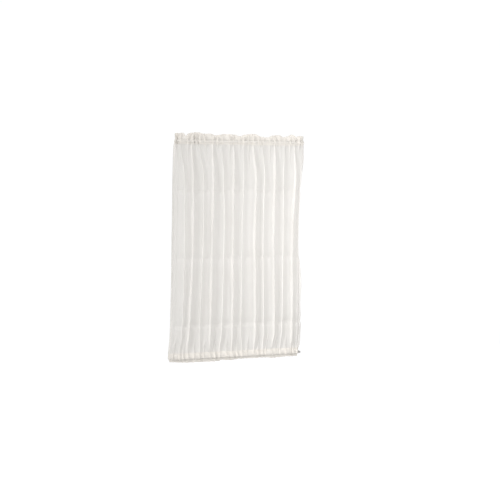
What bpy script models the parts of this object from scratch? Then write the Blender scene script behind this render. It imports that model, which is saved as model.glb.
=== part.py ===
"""A sheer french door curtain shirred on two slim sash rods, in metres, with +Z up.

The origin lies on the face of the door, midway between the two ends of the top rod. The door is
the plane Y = 0, and whoever looks at the curtain stands at -Y. The panel is one cut of cloth with
a ruffled heading, a rod pocket, gathers that merge into long soft folds, a second rod pocket and
a short ruffle. Each rod is a plain round bar whose two ends turn back and meet the door.
"""

import math
from typing import NamedTuple

import bmesh
import bpy
import numpy as np

MM = 0.001

# The rods, in millimetres. Each half length runs from the middle to the axis of the turned end.
ROD_RADIUS = 4.0
ROD_BEND = 12.0
ROD_REACH = 25.0
ROD_SIDES = 16
BEND_STEPS = 6
TOP_ROD_HALF = 291.0
BOTTOM_ROD_HALF = 307.0
BOTTOM_ROD_HEIGHT = -968.0

# The cloth, in millimetres. Heights are measured from the axis of the top rod.
CLOTH = 1.2
DOUBLED = 2.2
ROD_GAP = 0.5
TOP_POCKET = 21.0
BOTTOM_POCKET = 28.0
SIDE_RETURN = 9.0

HEADING_HEIGHT = 28.0
TOP_UPPER_STITCH = ROD_RADIUS + 4.5
TOP_LOWER_STITCH = TOP_UPPER_STITCH - TOP_POCKET
BOTTOM_LOWER_STITCH = BOTTOM_ROD_HEIGHT - ROD_RADIUS - 2.5
BOTTOM_UPPER_STITCH = BOTTOM_LOWER_STITCH + BOTTOM_POCKET
RUFFLE_HEIGHT = -985.0

# How far the loose gathers of the pockets stand off the rod, and how far a stitch lies from the hole.
POCKET_RIPPLE = 5.0
STITCH_TO_HOLE = 1.0

# Heights at which the table of folds gives the places of the crests.
HIGH, MIDDLE, LOW = -150.0, -400.0, -870.0


class Fold(NamedTuple):
    """One long fold and the two gathers that it splits into at each rod, in mm along the rod."""

    rise: float
    dip: float
    top_left: float
    top_right: float
    high: float
    middle: float
    low: float
    bottom_left: float
    bottom_right: float


FOLDS = (
    Fold(4, 3, -288, -266, -258, -253, -266, -296, -270),
    Fold(14, 10, -248, -224, -222, -219, -235, -252, -234),
    Fold(4, 9, -204, -180, -175, -173, -184, -204, -177),
    Fold(16, 11, -150, -125, -129, -131, -135, -158, -130),
    Fold(6, 11, -108, -84, -82, -76, -82, -109, -86),
    Fold(15, 10, -54, -30, -35, -35, -31, -50, -27),
    Fold(5, 9, -4, 22, 12, 8, 10, -2, 22),
    Fold(16, 11, 44, 65, 70, 68, 78, 46, 80),
    Fold(7, 11, 90, 112, 110, 108, 118, 101, 121),
    Fold(17, 10, 140, 165, 158, 157, 169, 138, 166),
    Fold(6, 10, 188, 208, 201, 204, 208, 186, 206),
    Fold(15, 10, 232, 255, 258, 248, 256, 232, 259),
    Fold(6, 6, 276, 290, 282, 276, 282, 271, 283),
)


class Level(NamedTuple):
    """One height of the panel: the share of its gathers that is left there, their depth either way,
    how far the left side stands outside the rod's line, and the thickness of the cloth."""

    height: float
    gathered: float
    depth: float
    side_out: float
    thickness: float
    pocket: bool = False


LEVELS = (
    Level(HEADING_HEIGHT, 1.0, 7.0, 5.0, DOUBLED),
    Level(18, 1.0, 5.5, 5.0, DOUBLED),
    Level(TOP_UPPER_STITCH, 1.0, 2.5, 4.0, DOUBLED),
    Level(2, 1.0, POCKET_RIPPLE, 3.0, CLOTH, True),
    Level(-6, 1.0, POCKET_RIPPLE, 4.0, CLOTH, True),
    Level(TOP_LOWER_STITCH, 1.0, 4.5, 8.0, DOUBLED),
    Level(-32, 0.88, 6.0, 12.0, CLOTH),
    Level(-80, 0.6, 7.0, 13.0, CLOTH),
    Level(HIGH, 0.2, 7.0, 13.0, CLOTH),
    Level(-300, 0.0, 0.0, 11.0, CLOTH),
    Level(-500, 0.0, 0.0, 9.0, CLOTH),
    Level(-700, 0.0, 0.0, 7.0, CLOTH),
    Level(LOW, 0.3, 6.0, 8.0, CLOTH),
    Level(-922, 0.8, 6.0, 12.0, CLOTH),
    Level(BOTTOM_UPPER_STITCH, 1.0, 4.0, 12.0, DOUBLED),
    Level(-959, 1.0, POCKET_RIPPLE, 8.0, CLOTH, True),
    Level(-971.5, 1.0, POCKET_RIPPLE, 7.0, CLOTH, True),
    Level(BOTTOM_LOWER_STITCH, 1.0, 2.5, 8.0, DOUBLED),
    Level(RUFFLE_HEIGHT, 1.0, 4.5, 6.0, DOUBLED),
)


class EdgePoint(NamedTuple):
    """A place along the rod and the height of a ruffle's free edge there, in mm."""

    along: float
    height: float


HEADING_EDGE = (
    EdgePoint(-300, 32),
    EdgePoint(-260, 33),
    EdgePoint(-251, 22),
    EdgePoint(-240, 31),
    EdgePoint(-200, 37),
    EdgePoint(-163, 31),
    EdgePoint(-138, 32),
    EdgePoint(-120, 25),
    EdgePoint(-70, 32),
    EdgePoint(-23, 29),
    EdgePoint(-7, 23),
    EdgePoint(19, 31),
    EdgePoint(66, 34),
    EdgePoint(89, 24),
    EdgePoint(127, 20),
    EdgePoint(151, 28),
    EdgePoint(184, 31),
    EdgePoint(203, 22),
    EdgePoint(246, 34),
    EdgePoint(261, 24),
    EdgePoint(275, 28),
    EdgePoint(300, 28),
)

RUFFLE_EDGE = (
    EdgePoint(-315, -983),
    EdgePoint(-222, -988),
    EdgePoint(-101, -989),
    EdgePoint(-73, -984),
    EdgePoint(-35, -987),
    EdgePoint(12, -983),
    EdgePoint(130, -983),
    EdgePoint(172, -988),
    EdgePoint(196, -986),
    EdgePoint(290, -984),
)

# The free right side of the cloth: it wraps the turned end at the top and stops short at the bottom.
RIGHT_SIDE = (
    EdgePoint(303, HEADING_HEIGHT),
    EdgePoint(304, -90),
    EdgePoint(294, -160),
    EdgePoint(288, -300),
    EdgePoint(288, -400),
    EdgePoint(298, -600),
    EdgePoint(302, -750),
    EdgePoint(307, -870),
    EdgePoint(303, -922),
    EdgePoint(292, -985),
)

# Where the columns of one fold lie between its left valley and its crest, and past the crest.
RISING_SHARES = (0.0, 0.24, 0.45, 0.62, 0.77, 0.90, 1.0)
MAIN_STEEPENING = 3.2
SMALL_STEEPENING = 2.4
FALLING_SHARE = 0.11
VALLEY_SHARE = 0.27
FIRST_VALLEY_SHARE = 0.62
RIGHT_END_SHARES = (0.3, 0.62, 1.0)
# A gather is a wave, so its columns stand low, halfway, high and halfway.
GATHER_WAVE = (-1.0, 0.0, 1.0, 0.0, -1.0, 0.0, 1.0, 0.0)
SIDE_COLUMNS = 2
RIGHT_END_OUT = 2.0
RIGHT_END_WAVE = 1.2

SHEER_COLOUR = (0.86, 0.83, 0.79, 1.0)
ROD_COLOUR = (0.42, 0.41, 0.40, 1.0)


def clear_scene() -> None:
    """Removes every object that the scene starts with."""
    for obj in list(bpy.data.objects):
        bpy.data.objects.remove(obj, do_unlink=True)


def make_material(name: str, colour: tuple, roughness: float, metallic: float) -> bpy.types.Material:
    """Makes a Principled material."""
    material = bpy.data.materials.new(name)
    material.use_nodes = True
    shader = material.node_tree.nodes["Principled BSDF"]
    shader.inputs["Base Color"].default_value = colour
    shader.inputs["Roughness"].default_value = roughness
    shader.inputs["Metallic"].default_value = metallic
    return material


def half_length(height: float) -> float:
    """The half length of the plan at a height, between that of the top rod and that of the bottom rod."""
    share = np.clip(height / BOTTOM_ROD_HEIGHT, 0.0, 1.0)
    return TOP_ROD_HALF + share * (BOTTOM_ROD_HALF - TOP_ROD_HALF)


def plan(along: float, half: float) -> tuple[np.ndarray, np.ndarray]:
    """The point and outward direction at a distance along a rod: straight, a bend, then back to the door."""
    side = math.copysign(1.0, along)
    straight = half - ROD_BEND
    past = abs(along) - straight
    if past <= 0:
        return np.array([along, -ROD_REACH]), np.array([0.0, -1.0])
    turn = min(past / ROD_BEND, math.pi / 2)
    beyond = past - ROD_BEND * turn
    across = side * (straight + ROD_BEND * math.sin(turn))
    back = -ROD_REACH + ROD_BEND * (1 - math.cos(turn)) + beyond
    return np.array([across, back]), np.array([side * math.sin(turn), -math.cos(turn)])


def left_end(height: float) -> float:
    """Where the cloth's left side lies along the plan: it wraps the bend and runs on towards the door."""
    return -(half_length(height) - ROD_BEND + ROD_BEND * math.pi / 2 + SIDE_RETURN)


def right_end(height: float) -> float:
    """Where the cloth's right side lies along the plan."""
    rows = sorted(RIGHT_SIDE, key=lambda row: row.height)
    return float(np.interp(height, [row.height for row in rows], [row.along for row in rows]))


def fold_crests(height: float) -> list[float]:
    """The places of the long folds' crests at a height."""
    found = []
    for fold in FOLDS:
        heights = (BOTTOM_UPPER_STITCH, LOW, MIDDLE, HIGH, TOP_LOWER_STITCH)
        places = (fold.bottom_right, fold.low, fold.middle, fold.high, fold.top_right)
        found.append(float(np.interp(height, heights, places)))
    return found


def fold_profile(height: float) -> tuple[list[float], list[float]]:
    """The long folds at a height: places along the plan, and how far each stands out from it."""
    crests = fold_crests(height)
    along, out = [left_end(height)], [0.0] * SIDE_COLUMNS
    valley = crests[0] - FIRST_VALLEY_SHARE * (crests[0] - along[0])
    along.append((along[0] + valley) / 2)
    for index, fold in enumerate(FOLDS):
        crest = crests[index]
        steepening = MAIN_STEEPENING if fold.rise > 10 else SMALL_STEEPENING
        for share in RISING_SHARES:
            along.append(valley + share * (crest - valley))
            out.append(-fold.dip + share**steepening * (fold.rise + fold.dip))
        if index + 1 < len(FOLDS):
            gap = crests[index + 1] - crest
            along.append(crest + FALLING_SHARE * gap)
            out.append((fold.rise - FOLDS[index + 1].dip) / 2)
            valley = crest + VALLEY_SHARE * gap
    last_out = (0.0, -FOLDS[-1].dip / 2, RIGHT_END_OUT)
    for share, stands in zip(RIGHT_END_SHARES, last_out):
        along.append(crests[-1] + share * (right_end(height) - crests[-1]))
        out.append(stands)
    return along, out


def gather_places(height: float) -> list[float]:
    """The crests of the gathers, two a fold, read at the nearer rod."""
    if height > BOTTOM_ROD_HEIGHT / 2:
        return [place for fold in FOLDS for place in (fold.top_left, fold.top_right)]
    return [place for fold in FOLDS for place in (fold.bottom_left, fold.bottom_right)]


def gather_profile(height: float) -> tuple[list[float], list[float]]:
    """The gathers at a rod, with as many columns as the long folds: places, and a wave from -1 to 1."""
    crests = gather_places(height)
    start, end = left_end(height), right_end(height)
    along, wave = [start], [0.0] * SIDE_COLUMNS
    valleys = [(start + crests[0]) / 2]
    valleys += [(a + b) / 2 for a, b in zip(crests, crests[1:])]
    along.append((start + valleys[0]) / 2)
    for index, crest in enumerate(crests):
        along += [valleys[index], (valleys[index] + crest) / 2, crest]
        if index + 1 < len(crests):
            along.append((crest + valleys[index + 1]) / 2)
    wave += list(GATHER_WAVE * len(FOLDS))[:-1]
    for share, stands in zip(RIGHT_END_SHARES, (0.0, -1.0, RIGHT_END_WAVE)):
        along.append(crests[-1] + share * (end - crests[-1]))
        wave.append(stands)
    return along, wave


def edge_heights(along: np.ndarray, table: tuple) -> np.ndarray:
    """The height of a ruffle's free edge at places along the plan."""
    return np.interp(along, [row.along for row in table], [row.height for row in table])


def centre_line(level: Level) -> tuple[np.ndarray, np.ndarray, np.ndarray]:
    """The middle of the cloth at a level: places along the plan, how far each stands out, and the wave."""
    folds_along, folds_out = (np.array(values) for values in fold_profile(level.height))
    gathers_along, wave = (np.array(values) for values in gather_profile(level.height))
    along = level.gathered * gathers_along + (1 - level.gathered) * folds_along
    out = level.gathered * level.depth * wave + (1 - level.gathered) * folds_out
    out[:SIDE_COLUMNS] = level.side_out
    return along, out, wave


def on_plan(along: np.ndarray, out: np.ndarray, height: float) -> np.ndarray:
    """The points that stand out by the given amounts from the plan."""
    half = half_length(height)
    points = []
    for place, stands in zip(along, out):
        point, outward = plan(place, half)
        points.append(point + stands * outward)
    return np.array(points)


def thickened(centre: np.ndarray, thickness: float) -> tuple[np.ndarray, np.ndarray]:
    """The front and back of a sheet of this thickness around its middle line."""
    ahead = np.gradient(centre, axis=0)
    ahead /= np.linalg.norm(ahead, axis=1, keepdims=True)
    outward = np.stack([ahead[:, 1], -ahead[:, 0]], axis=1)
    return centre + outward * thickness / 2, centre - outward * thickness / 2


def with_height(points: np.ndarray, heights: np.ndarray | float) -> np.ndarray:
    """Plan points raised to their heights."""
    return np.column_stack([points, np.broadcast_to(heights, len(points))])


def pocket_layers(level: Level) -> tuple[np.ndarray, np.ndarray, np.ndarray, np.ndarray]:
    """The front layer's two sides and the back layer's two sides, where the rod passes between them."""
    along, _, wave = centre_line(level)
    hug = ROD_RADIUS + ROD_GAP + level.thickness / 2
    front = hug + level.depth * (1 + wave) / 2
    back = hug + level.depth * (1 - wave) / 2
    front[:SIDE_COLUMNS] = hug + level.side_out
    back[:SIDE_COLUMNS] = hug
    outside, inside = thickened(on_plan(along, front, level.height), level.thickness)
    back_inside, back_outside = thickened(on_plan(along, -back, level.height), level.thickness)
    return outside, inside, back_inside, back_outside


def panel_rings() -> tuple[list, list, list]:
    """The panel's front, its back, and the holes of its two pockets, each as rows of points."""
    front, back, holes = [], [], []
    for index, level in enumerate(LEVELS):
        if level.pocket:
            outside, inside, back_inside, back_outside = pocket_layers(level)
            front.append(with_height(outside, level.height))
            back.append(with_height(back_outside, level.height))
            if not LEVELS[index - 1].pocket:
                upper = LEVELS[index - 1]
                along, out, _ = centre_line(upper)
                middle = on_plan(along, out, upper.height)
                holes.append(([with_height(middle, upper.height - STITCH_TO_HOLE)], []))
            holes[-1][0].append(with_height(inside, level.height))
            holes[-1][1].append(with_height(back_inside, level.height))
            if not LEVELS[index + 1].pocket:
                lower = LEVELS[index + 1]
                along, out, _ = centre_line(lower)
                middle = on_plan(along, out, lower.height)
                holes[-1][0].append(with_height(middle, lower.height + STITCH_TO_HOLE))
            continue
        along, out, _ = centre_line(level)
        heights = level.height
        if index == 0:
            heights = edge_heights(along, HEADING_EDGE)
        elif index == len(LEVELS) - 1:
            heights = edge_heights(along, RUFFLE_EDGE)
        outside, inside = thickened(on_plan(along, out, level.height), level.thickness)
        front.append(with_height(outside, heights))
        back.append(with_height(inside, heights))
    return front, back, holes


def make_panel() -> bpy.types.Object:
    """The gathered panel, one closed solid with a tunnel for each rod."""
    front, back, holes = panel_rings()
    columns = len(front[0])
    mesh = bmesh.new()

    def add_rows(rows: list) -> list:
        return [[mesh.verts.new(point * MM) for point in row] for row in rows]

    def join(upper: list, lower: list, inwards: bool = False) -> None:
        for left in range(columns - 1):
            corners = [lower[left], lower[left + 1], upper[left + 1], upper[left]]
            mesh.faces.new(corners[::-1] if inwards else corners)

    def close_ends(*rows: list) -> None:
        mesh.faces.new([row[0] for row in rows])
        mesh.faces.new([row[-1] for row in reversed(rows)])

    front_rows, back_rows = add_rows(front), add_rows(back)
    around = front_rows + back_rows[::-1]
    for upper, lower in zip(around, around[1:] + around[:1]):
        join(upper, lower)

    pocket_tops = [i for i, level in enumerate(LEVELS) if level.pocket and not LEVELS[i - 1].pocket]
    pocket_spans = set()
    for first, (down_front, down_back) in zip(pocket_tops, holes):
        hole_front, hole_back = add_rows(down_front), add_rows(down_back)
        hole_back = [hole_front[0], *hole_back, hole_front[-1]]
        hole = hole_front + hole_back[-2:0:-1]
        for upper, lower in zip(hole, hole[1:] + hole[:1]):
            join(upper, lower, inwards=True)
        stitch_rows = range(first - 1, first - 1 + len(hole_front))
        for step, row in enumerate(list(stitch_rows)[:-1]):
            pocket_spans.add(row)
            close_ends(front_rows[row], hole_front[step], hole_front[step + 1], front_rows[row + 1])
            close_ends(hole_back[step], back_rows[row], back_rows[row + 1], hole_back[step + 1])
        top_row, bottom_row = stitch_rows[0], stitch_rows[-1]
        close_ends(front_rows[top_row], back_rows[top_row], hole_front[0])
        close_ends(front_rows[bottom_row], hole_front[-1], back_rows[bottom_row])
    for row in range(len(LEVELS) - 1):
        if row not in pocket_spans:
            close_ends(front_rows[row], back_rows[row], back_rows[row + 1], front_rows[row + 1])

    data = bpy.data.meshes.new("curtain_panel")
    mesh.to_mesh(data)
    mesh.free()
    data.shade_smooth()
    panel = bpy.data.objects.new("curtain_panel", data)
    data.materials.append(make_material("sheer_cloth", SHEER_COLOUR, 0.9, 0.0))
    bpy.context.scene.collection.objects.link(panel)
    return panel


def make_rod(name: str, half: float, height: float) -> bpy.types.Object:
    """A round bar with both ends turned back, each ending in a flat face on the plane of the door."""
    straight = half - ROD_BEND
    turns = [math.pi / 2 * step / BEND_STEPS for step in range(BEND_STEPS + 1)]
    right = [straight + ROD_BEND * turn for turn in turns]
    right.append(right[-1] + ROD_REACH - ROD_BEND)
    stations = [-along for along in reversed(right)] + right
    mesh = bmesh.new()
    rings = []
    for along in stations:
        point, outward = plan(along, half)
        ring = []
        for side in range(ROD_SIDES):
            angle = 2 * math.pi * (side + 0.5) / ROD_SIDES
            across = point + ROD_RADIUS * math.cos(angle) * outward
            up = height + ROD_RADIUS * math.sin(angle)
            ring.append(mesh.verts.new((across[0] * MM, across[1] * MM, up * MM)))
        rings.append(ring)
    for left, right_ring in zip(rings, rings[1:]):
        for side in range(ROD_SIDES):
            after = (side + 1) % ROD_SIDES
            mesh.faces.new([left[side], left[after], right_ring[after], right_ring[side]])
    mesh.faces.new(rings[0])
    mesh.faces.new(rings[-1])
    bmesh.ops.recalc_face_normals(mesh, faces=mesh.faces)
    data = bpy.data.meshes.new(name)
    mesh.to_mesh(data)
    mesh.free()
    data.shade_smooth()
    data.set_sharp_from_angle(angle=math.radians(40))
    data.materials.append(make_material(name + "_metal", ROD_COLOUR, 0.35, 1.0))
    rod = bpy.data.objects.new(name, data)
    bpy.context.scene.collection.objects.link(rod)
    return rod


clear_scene()
make_panel()
make_rod("top_rod", TOP_ROD_HALF, 0.0)
make_rod("bottom_rod", BOTTOM_ROD_HALF, BOTTOM_ROD_HEIGHT)
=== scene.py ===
"""The looks of a sheer french door curtain that is shirred on two slim sash rods.

The panel is one sheet of voile. It starts turned in at the foot of the upper pocket, goes up behind the
rod and over the ruffled heading, hangs down the front in uneven folds, turns under the short lower
ruffle and ends turned in above the lower rod. Both sides are turned back in narrow hems. Sizes and
places are in millimetres, along the frame's axes, and become metres where a mesh or a material is made.
Whoever looks at the curtain stands at -Y.
"""

import logging
import math
from dataclasses import dataclass, field
from enum import Enum
from typing import NamedTuple, Sequence

import bmesh
import bpy
import numpy as np
from mathutils import Matrix, Vector


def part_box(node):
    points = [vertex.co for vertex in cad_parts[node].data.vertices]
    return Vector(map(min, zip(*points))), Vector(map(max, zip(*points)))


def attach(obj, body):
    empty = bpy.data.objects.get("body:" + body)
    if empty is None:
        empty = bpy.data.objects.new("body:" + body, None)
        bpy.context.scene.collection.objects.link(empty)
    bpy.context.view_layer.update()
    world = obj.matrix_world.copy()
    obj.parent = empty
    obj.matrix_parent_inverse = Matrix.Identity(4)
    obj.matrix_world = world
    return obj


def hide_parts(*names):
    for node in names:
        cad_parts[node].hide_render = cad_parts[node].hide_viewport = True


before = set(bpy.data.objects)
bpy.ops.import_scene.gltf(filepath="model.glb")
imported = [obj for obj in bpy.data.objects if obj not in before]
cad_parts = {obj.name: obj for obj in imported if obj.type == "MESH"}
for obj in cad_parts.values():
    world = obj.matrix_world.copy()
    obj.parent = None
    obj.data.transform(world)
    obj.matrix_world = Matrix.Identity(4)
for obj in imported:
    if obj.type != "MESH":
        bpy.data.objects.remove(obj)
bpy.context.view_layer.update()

LOG = logging.getLogger("door_curtain")
MM = 0.001

# Heights of the sewn lines and of the two free edges, from the axis of the upper rod.
HEADING_HEIGHT = 28.0
TOP_UPPER_STITCH = 8.5
TOP_LOWER_STITCH = -12.5
BOTTOM_UPPER_STITCH = -946.5
BOTTOM_LOWER_STITCH = -974.5
RUFFLE_HEIGHT = -985.0

# Heights at which the table of folds gives the places of the crests.
HIGH, MIDDLE, LOW = -150.0, -400.0, -870.0

# Each fold has this many columns, shared by its two gathers, after the columns of the left side.
FOLD_COLUMNS = 8
FOLD_GATHERS = 2
SIDE_COLUMNS = 2

# A fold that rises more than this runs from rod to rod as a bright line.
MAIN_RISE = 10.0

# Where the last columns lie, as shares of the way from the last crest to the right side.
RIGHT_SHARES = (0.3, 0.62, 1.0)


class Fold(NamedTuple):
    """One long fold and the two gathers that it splits into at each rod, in mm along the rod."""

    rise: float
    dip: float
    top_left: float
    top_right: float
    high: float
    middle: float
    low: float
    bottom_left: float
    bottom_right: float

    @property
    def main(self) -> bool:
        """Whether it is one of the folds that run from rod to rod as a bright line."""
        return self.rise > MAIN_RISE


FOLDS = (
    Fold(4, 3, -290, -272, -256, -252, -260, -296, -270),
    Fold(14, 10, -240, -222, -216, -213, -229, -252, -234),
    Fold(4, 9, -206, -188, -169, -167, -178, -204, -177),
    Fold(16, 11, -162, -127, -123, -125, -129, -158, -130),
    Fold(6, 11, -108, -84, -76, -70, -76, -109, -86),
    Fold(15, 10, -48, -28, -29, -29, -25, -50, -27),
    Fold(5, 9, -4, 14, 18, 14, 16, -2, 22),
    Fold(16, 11, 37, 61, 76, 74, 84, 46, 80),
    Fold(7, 11, 86, 106, 116, 114, 124, 101, 121),
    Fold(17, 10, 142, 163, 164, 163, 175, 138, 166),
    Fold(6, 10, 188, 208, 207, 210, 214, 186, 206),
    Fold(15, 10, 236, 256, 264, 254, 262, 232, 259),
    Fold(6, 6, 276, 290, 288, 282, 288, 271, 283),
)


class Level(NamedTuple):
    """One height of the panel: how much of its gathers is left, their depth either way, how far the
    left side stands outside the rod's line, how far each layer stands from the middle between the
    two, with what the loose gathers of a pocket add to that, and how far the gathers are laid over."""

    height: float
    gathered: float
    depth: float
    side_out: float
    apart: float
    loose: float
    laid: float


LEVELS = (
    Level(HEADING_HEIGHT, 1.0, 7.0, 5.0, 1.3, 0.0, 0.6),
    Level(18, 1.0, 5.5, 5.0, 1.8, 0.0, 0.8),
    Level(TOP_UPPER_STITCH, 1.0, 3.4, 4.0, 1.2, 0.0, 1.0),
    Level(5, 1.0, 2.4, 3.0, 3.3, 0.8, 1.0),
    Level(2, 1.0, 2.5, 3.0, 4.9, 1.0, 1.0),
    Level(-3, 1.0, 2.7, 3.5, 5.0, 1.0, 1.0),
    Level(-8, 1.0, 3.2, 5.0, 3.2, 0.8, 1.0),
    Level(TOP_LOWER_STITCH, 1.0, 4.0, 8.0, 0.9, 0.0, 0.9),
    Level(-20, 0.95, 4.8, 11.0, 0.5, 0.0, 0.5),
    Level(-34, 0.82, 6.0, 12.5, 0.0, 0.0, 0.15),
    Level(-80, 0.48, 7.0, 13.0, 0.0, 0.0, 0.0),
    Level(HIGH, 0.16, 7.0, 13.0, 0.0, 0.0, 0.0),
    Level(-300, 0.0, 7.0, 11.0, 0.0, 0.0, 0.0),
    Level(-500, 0.0, 6.0, 9.0, 0.0, 0.0, 0.0),
    Level(-700, 0.0, 6.0, 7.0, 0.0, 0.0, 0.0),
    Level(LOW, 0.3, 6.0, 8.0, 0.0, 0.0, 0.0),
    Level(-922, 0.8, 6.0, 12.0, 0.0, 0.0, 0.1),
    Level(-939, 0.95, 4.8, 13.0, 0.5, 0.0, 0.5),
    Level(BOTTOM_UPPER_STITCH, 1.0, 4.0, 12.0, 0.9, 0.0, 0.9),
    Level(-957, 1.0, 3.0, 9.0, 4.0, 1.6, 1.0),
    Level(-966, 1.0, 2.6, 8.0, 5.4, 2.4, 1.0),
    Level(-970.5, 1.0, 2.4, 7.0, 5.2, 2.4, 1.0),
    Level(-972.5, 1.0, 2.4, 7.0, 3.3, 1.2, 1.0),
    Level(BOTTOM_LOWER_STITCH, 1.0, 2.5, 8.0, 0.9, 0.0, 0.9),
    Level(RUFFLE_HEIGHT, 1.0, 4.5, 6.0, 1.2, 0.0, 0.6),
)


class EdgePoint(NamedTuple):
    """A place along the rod and a height, in mm."""

    along: float
    height: float


def edge_points(*pairs: tuple[float, float]) -> tuple[EdgePoint, ...]:
    """Lists points, each given as a place along the rod and a height."""
    return tuple(EdgePoint(*pair) for pair in pairs)


HEADING_EDGE = edge_points(
    (-300, 32), (-260, 33), (-251, 22), (-240, 31), (-200, 37), (-163, 31), (-138, 32), (-120, 25),
    (-70, 32), (-23, 29), (-7, 23), (19, 31), (66, 34), (89, 24), (127, 20), (151, 28), (184, 31),
    (203, 22), (246, 34), (261, 24), (275, 28), (300, 28),
)
RUFFLE_EDGE = edge_points(
    (-315, -983), (-222, -988), (-101, -989), (-73, -984), (-35, -987), (12, -983), (130, -983),
    (172, -988), (196, -986), (290, -984),
)
RIGHT_SIDE = edge_points(
    (303, HEADING_HEIGHT), (304, -90), (294, -160), (288, -300), (288, -400), (298, -600), (302, -750),
    (307, -870), (303, -922), (292, -985),
)

# How far the free right side stands out past the end of the rods.
RIGHT_FLARE = edge_points(
    (5, HEADING_HEIGHT), (7, 0), (11, -34), (12, -77), (8, -110), (1, -150), (-5, -288), (-12, -440),
    (-4, -540), (4, -640), (-1, -740), (1, -830), (-4, -922), (-2, -985),
)


class Row(NamedTuple):
    """One row of the sheet: its height, which layer it lies in, from -1 behind the rods to 1 before
    them, and how far up the heading or down the lower ruffle it lies, from 0 at the stitch to 1."""

    height: float
    layer: float
    heading: float = 0.0
    ruffle: float = 0.0


class Turn(NamedTuple):
    """A row of a pocket's turned-in edge: how far it lies into the pocket from the stitch, and its
    layer."""

    inside: float
    layer: float


TURNED_IN = (
    Turn(8, -0.05),
    Turn(4, -0.05),
    Turn(0, -0.05),
    Turn(-1.7, -0.2),
    Turn(-2.2, -0.5),
    Turn(-1.5, -0.9),
)


class SheetEnd(NamedTuple):
    """One end of the sheet: its pocket's stitch next to the free edge and the other one, that edge as Row
    names it, the shares of the edge's height at which rows lie, and that at which its lip turns."""

    sewn: float
    foot: float
    edge: str
    steps: tuple[float, ...]
    lip: float


HEADING_STEPS = (0.0, 0.16, 0.32, 0.48, 0.64, 0.78, 0.9, 0.965)
HEADING = SheetEnd(TOP_UPPER_STITCH, TOP_LOWER_STITCH, "heading", HEADING_STEPS, 0.99)
RUFFLE = SheetEnd(BOTTOM_LOWER_STITCH, BOTTOM_UPPER_STITCH, "ruffle", (0.0, 0.3, 0.6, 0.88), 0.97)


class SeamLine(NamedTuple):
    """A sewn line: the points of the cloth that it runs through, and the way its outer face looks
    at each of them."""

    points: np.ndarray
    facing: np.ndarray


def smooth_through(at: np.ndarray, places: Sequence[float], values: Sequence[float]) -> np.ndarray:
    """Reads a smooth curve through a table, which never swings past the table's values.

    Args:
        at: where the curve is read.
        places: the table's places, all rising or all falling.
        values: the table's values.

    Returns:
        The curve's values, level past either end of the table.
    """
    order = np.argsort(places)
    x, y = np.asarray(places, float)[order], np.asarray(values, float)[order]
    step = np.diff(x)
    slope = np.diff(y) / step
    tangent = np.zeros_like(y)
    same_way = slope[:-1] * slope[1:] > 0
    before, after = slope[:-1][same_way], slope[1:][same_way]
    tangent[1:-1][same_way] = 2 * before * after / (before + after)
    held = np.clip(at, x[0], x[-1])
    left = np.clip(np.searchsorted(x, held, side="right") - 1, 0, len(step) - 1)
    width = step[left]
    t = (held - x[left]) / width
    rising = t * t * (3 - 2 * t)
    bend = t * (1 - t) * width * ((1 - t) * tangent[left] - t * tangent[left + 1])
    return y[left] * (1 - rising) + y[left + 1] * rising + bend


def read_table(at: np.ndarray, table: Sequence[NamedTuple], key: str, value: str) -> np.ndarray:
    """Reads one column of a table against another, as a smooth curve.

    Args:
        at: where it is read, as values of the key's column.
        table: the table.
        key: the column that holds the places.
        value: the column that is read.

    Returns:
        The curve's values.
    """
    return smooth_through(at, [getattr(row, key) for row in table], [getattr(row, value) for row in table])


@dataclass(frozen=True)
class Wander:
    """An uneven smooth wave, by its size, the length of its main wave, and a seed for its phases."""

    size: float
    length: float
    seed: int

    def at(self, places: np.ndarray, number: int = 0) -> np.ndarray:
        """Reads the wave.

        Args:
            places: where it is read, in the units of its length.
            number: picks other phases, where several lines wander by the same measure.

        Returns:
            Its values, which lie about between -size and size.
        """
        phases = np.random.default_rng(self.seed + number).uniform(0.0, 2 * math.pi, 3)
        stretches, evened = (1.0, 0.618, 1.7), 2.2
        waves = [np.sin(2 * math.pi * places / (self.length * s) + p) for s, p in zip(stretches, phases)]
        return self.size * (sum(waves) / evened)


def softened(values: np.ndarray, reach: float) -> np.ndarray:
    """Smooths a row of values with a bell, and keeps both of its ends in place.

    Args:
        values: the row.
        reach: the width of the bell, in samples.

    Returns:
        The smoothed row, as long as it was.
    """
    half = math.ceil(3 * reach)
    bell = np.exp(-0.5 * (np.arange(-half, half + 1) / reach) ** 2)
    before = 2 * values[0] - values[half:0:-1]
    after = 2 * values[-1] - values[-2 : -half - 2 : -1]
    return np.convolve(np.concatenate([before, values, after]), bell / bell.sum(), mode="valid")


def read_at(line: np.ndarray, places: np.ndarray) -> tuple[np.ndarray, np.ndarray]:
    """Finds where places along a line of points lie between them.

    Args:
        line: the points.
        places: distances along the line from its first point.

    Returns:
        The number of the point before each place, and the share of the way to the next, as a column.
    """
    arc = np.concatenate([[0], np.cumsum(np.linalg.norm(np.diff(line, axis=0), axis=1))])
    spot = np.interp(places, arc, np.arange(len(line)))
    before = np.minimum(spot.astype(int), len(line) - 2)
    return before, (spot - before)[:, None]


def between(values: np.ndarray, before: np.ndarray, share: np.ndarray) -> np.ndarray:
    """Reads rows of values at the places that read_at has found."""
    return values[before] * (1 - share) + values[before + 1] * share


def new_object(name: str, data: bpy.types.ID) -> bpy.types.Object:
    """Makes an object at the origin.

    Args:
        name: the object's name.
        data: its mesh, camera or lamp.

    Returns:
        The object, linked to the scene.
    """
    obj = bpy.data.objects.new(name, data)
    bpy.context.scene.collection.objects.link(obj)
    return obj


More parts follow.
